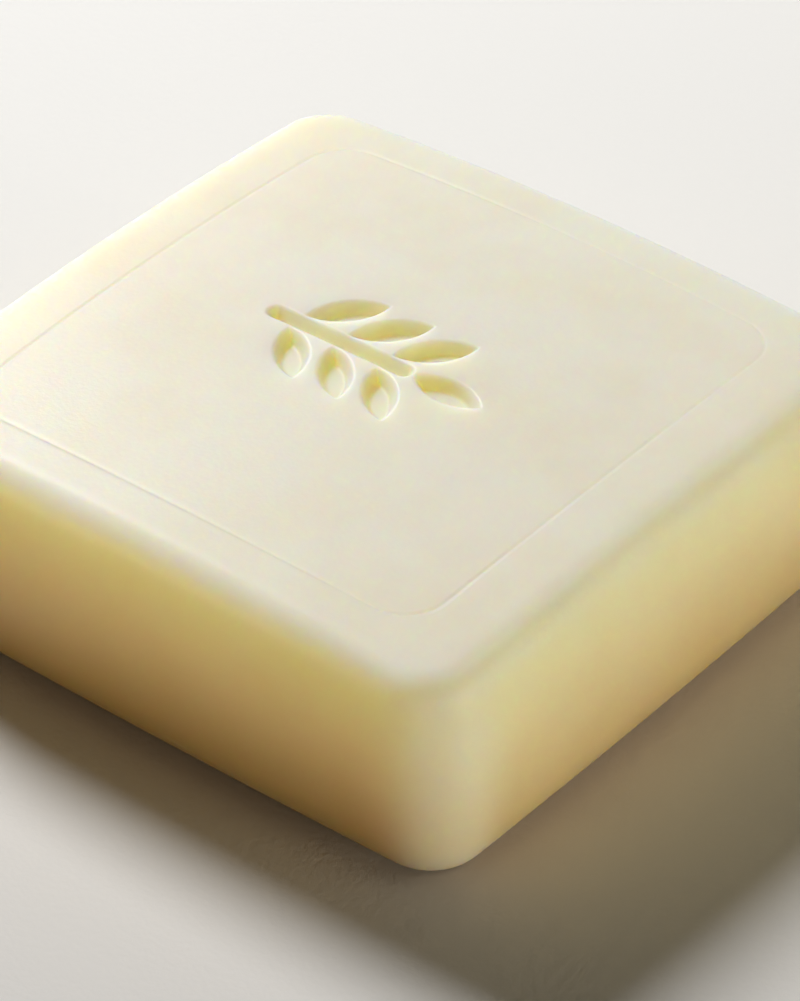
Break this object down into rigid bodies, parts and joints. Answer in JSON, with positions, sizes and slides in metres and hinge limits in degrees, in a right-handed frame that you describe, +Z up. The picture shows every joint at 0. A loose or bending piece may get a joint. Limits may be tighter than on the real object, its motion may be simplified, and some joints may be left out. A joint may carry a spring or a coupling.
{
  "type": "bar of soap",
  "caption": "Near-square pressed bar of soap with a crowned top, bulging sides, soft shoulders, a fine line round the die panel and a small leaf sprig pressed into the top.",
  "frame": {"origin": "middle of the underside, on the surface that the bar lies on", "axes": "+Z up through the crowned top, +X along the stem of the pressed sprig and the bar's slightly longer side, +Y across it"},
  "size_m": [0.0684, 0.0656, 0.0239],
  "materials": {
    "soap": "satin, translucent ivory"
  },
  "bodies": {
    "root": {"soap_bar": "soap"}
  },
  "joints": []
}
